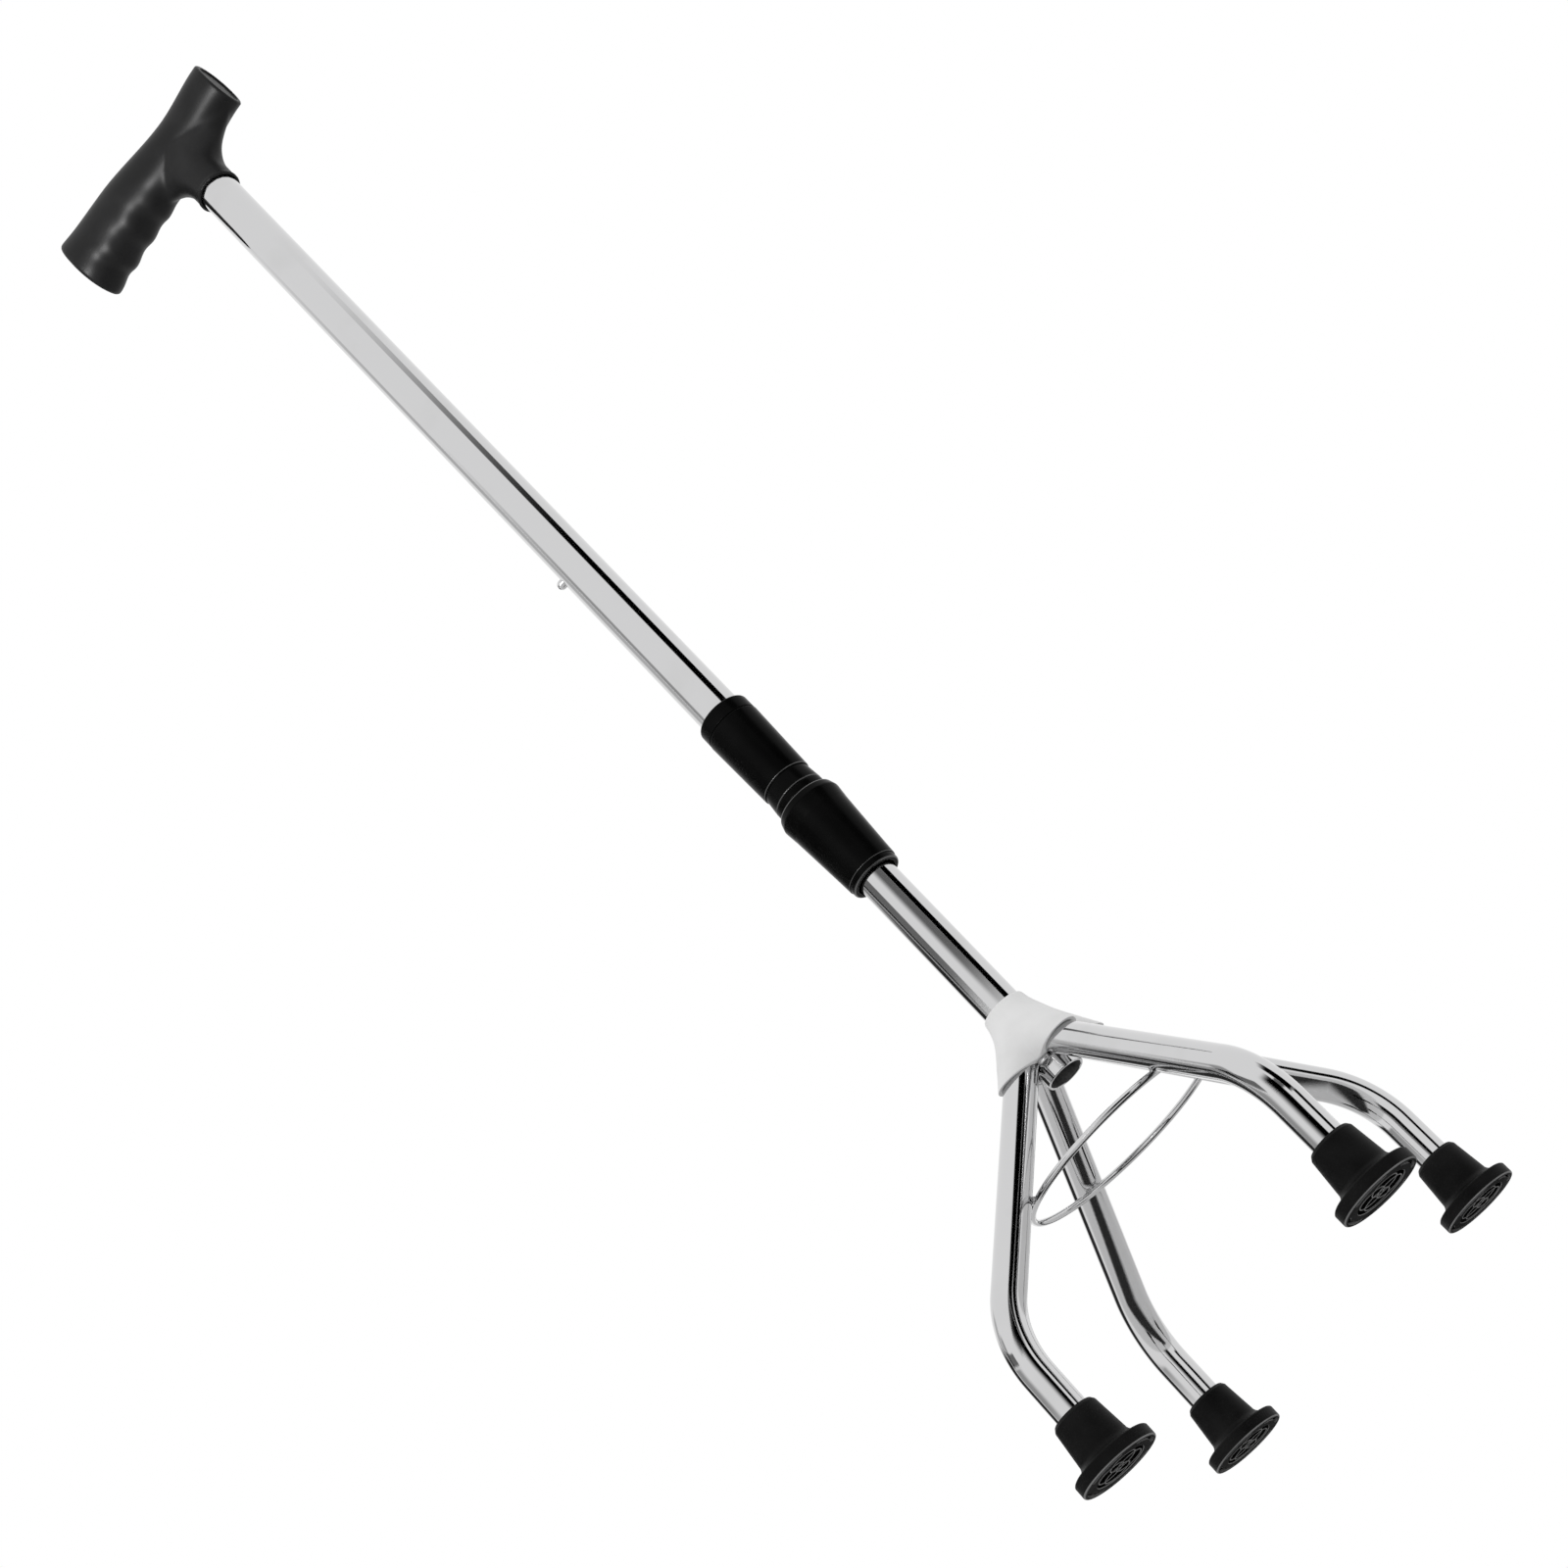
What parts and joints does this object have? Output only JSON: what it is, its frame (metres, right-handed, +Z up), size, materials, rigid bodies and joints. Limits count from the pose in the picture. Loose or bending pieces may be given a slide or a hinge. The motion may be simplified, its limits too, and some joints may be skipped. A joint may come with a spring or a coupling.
{
  "type": "quad cane",
  "caption": "Walking cane with a T handle on a telescopic tube, a screw collar and snap button for its height, and a four-legged base with a brace ring.",
  "frame": {"origin": "on the floor, under the common axis of the two tubes, midway between the four feet", "axes": "+Z up along the tubes, +X towards the handle's nose, +Y to the left of someone who faces +X"},
  "size_m": [0.1854, 0.1974, 0.9067],
  "materials": {
    "grip_plastic": "satin moulded black",
    "black_plastic": "satin moulded black",
    "grey_plastic": "satin moulded pale grey",
    "chrome": "bright plated tube",
    "steel": "plain steel",
    "rubber": "dull black"
  },
  "bodies": {
    "base": {"lower_tube": "chrome", "tube_plug": "black_plastic", "spring_clip": "steel", "hub_cover": "grey_plastic", "leg_front_right": "chrome", "leg_front_left": "chrome", "leg_rear_right": "chrome", "leg_rear_left": "chrome", "brace_ring": "chrome", "foot_front_right": "rubber", "foot_front_left": "rubber", "foot_rear_right": "rubber", "foot_rear_left": "rubber", "foot_washer_front_right": "steel", "foot_washer_front_left": "steel", "foot_washer_rear_right": "steel", "foot_washer_rear_left": "steel"},
    "upper": {"outer_tube": "chrome", "handle_grip": "grip_plastic", "collar_sleeve": "black_plastic", "collar_cap": "black_plastic", "stop_ring": "black_plastic"},
    "button": {"snap_button": "chrome", "button_leaf": "steel"},
    "collet": {"collet_bush": "black_plastic"},
    "nut": {"lock_nut": "black_plastic"}
  },
  "joints": [
    {"name": "height_slide", "type": "slide", "parent": "base", "child": "upper", "axis": [0, 0, 1], "range_m": [-0.075, 0.075]},
    {"name": "button_press", "type": "slide", "parent": "base", "child": "button", "axis": [1, 0, 0], "range_m": [0, 0.0055], "stiffness_N_per_m": 500, "springref_m": -0.002},
    {"name": "nut_travel", "type": "slide", "parent": "upper", "child": "collet", "axis": [0, 0, -1], "range_m": [0, 0.0015]},
    {"name": "nut_twist", "type": "hinge", "parent": "collet", "child": "nut", "pos_m": [0, 0, 0.303], "axis": [0, 0, -1], "range_deg": [0, 270]}
  ],
  "couplings": [
    {"joint": "nut_twist", "follows": "nut_travel", "rad_per_m": 3141.6}
  ]
}
